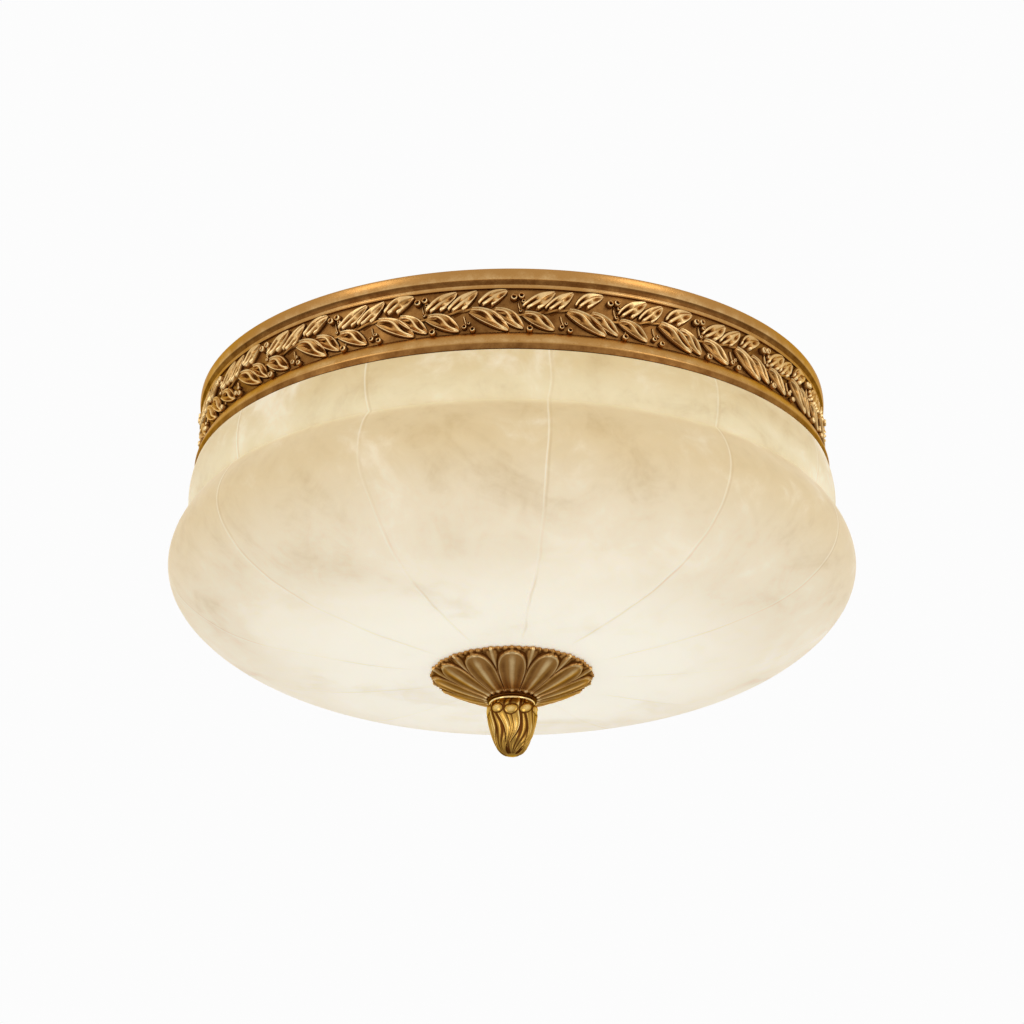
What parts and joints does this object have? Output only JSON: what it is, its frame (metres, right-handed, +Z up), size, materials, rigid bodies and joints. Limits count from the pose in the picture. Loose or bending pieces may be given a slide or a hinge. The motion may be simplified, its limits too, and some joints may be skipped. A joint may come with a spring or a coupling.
{
  "type": "flush-mount ceiling light",
  "caption": "Round flush-mount ceiling light: brass band with a leaf frieze, alabaster bowl held by a centre rod, rosette and leaf finial.",
  "frame": {"origin": "centre of the ceiling plane, midway between the crossbar's two slots on its top face", "axes": "+Z up out of the ceiling face, +X along the crossbar's slots, -Y towards the picture's viewer"},
  "size_m": [0.4503, 0.4502, 0.2429],
  "materials": {
    "zinc_steel": "satin",
    "plain_brass": "satin",
    "white_enamel": "satin",
    "antique_brass": "satin",
    "dark_brass": "satin",
    "bright_brass": "polished",
    "alabaster": "satin",
    "felt": "matte",
    "rubber": "matte",
    "porcelain": "gloss",
    "lamp_cap": "satin",
    "lamp_glass": "gloss",
    "lead_sleeve": "matte",
    "earth_sleeve": "matte",
    "terminal_plastic": "satin"
  },
  "bodies": {
    "fixture": {"band_screws": "zinc_steel", "bracket_nuts": "zinc_steel", "bracket_screws": "zinc_steel", "brass_band": "antique_brass", "ceiling_pan": "white_enamel", "centre_contact_1": "plain_brass", "centre_contact_2": "plain_brass", "centre_contact_3": "plain_brass", "centre_rod": "plain_brass", "crossbar": "zinc_steel", "crossbar_locknut": "zinc_steel", "earth_lead": "earth_sleeve", "ground_lug": "plain_brass", "ground_screw": "plain_brass", "holder_bracket_1": "zinc_steel", "holder_bracket_2": "zinc_steel", "holder_bracket_3": "zinc_steel", "holder_screws": "zinc_steel", "lamp_lead_1": "lead_sleeve", "lamp_lead_2": "lead_sleeve", "lamp_lead_3": "lead_sleeve", "lampholder_1": "porcelain", "lampholder_2": "porcelain", "lampholder_3": "porcelain", "lead_grommets": "rubber", "leaf_frieze": "antique_brass", "pan_nut": "zinc_steel", "pan_washer": "zinc_steel", "screw_shell_1": "plain_brass", "screw_shell_2": "plain_brass", "screw_shell_3": "plain_brass", "stop_nut": "zinc_steel", "terminal_block": "terminal_plastic", "terminal_screws": "zinc_steel"},
    "bowl": {"alabaster_bowl": "alabaster", "rim_gasket": "rubber", "upper_felt": "felt", "bowl_plate": "plain_brass", "lower_felt": "felt"},
    "rosette_body": {"rosette": "antique_brass", "neck_ring": "dark_brass", "bead_ring": "bright_brass"},
    "finial_body": {"finial": "bright_brass"},
    "lamp_1": {"lamp_cap_1": "lamp_cap", "lamp_bulb_1": "lamp_glass"},
    "lamp_2": {"lamp_cap_2": "lamp_cap", "lamp_bulb_2": "lamp_glass"},
    "lamp_3": {"lamp_cap_3": "lamp_cap", "lamp_bulb_3": "lamp_glass"}
  },
  "joints": [
    {"name": "bowl_lower", "type": "slide", "parent": "fixture", "child": "bowl", "axis": [0, 0, -1], "range_m": [0, 0.26]},
    {"name": "finial_turn", "type": "hinge", "parent": "rosette_body", "child": "finial_body", "pos_m": [0, 0, -0.2083], "axis": [0, 0, -1], "range_deg": [0, 4320]},
    {"name": "rosette_drop", "type": "slide", "parent": "bowl", "child": "rosette_body", "axis": [0, 0, -1], "range_m": [0, 0.012]},
    {"name": "lamp_1_turn", "type": "hinge", "parent": "fixture", "child": "lamp_1", "pos_m": [0, 0.0465, -0.062], "axis": [0, 1, 0], "range_deg": [0, 1440]},
    {"name": "lamp_2_turn", "type": "hinge", "parent": "fixture", "child": "lamp_2", "pos_m": [-0.04027, -0.02325, -0.062], "axis": [-0.866, -0.5, 0], "range_deg": [0, 1440]},
    {"name": "lamp_3_turn", "type": "hinge", "parent": "fixture", "child": "lamp_3", "pos_m": [0.04027, -0.02325, -0.062], "axis": [0.866, -0.5, 0], "range_deg": [0, 1440]}
  ],
  "couplings": [
    {"joint": "finial_turn", "follows": "rosette_drop", "rad_per_m": 6283.2}
  ]
}
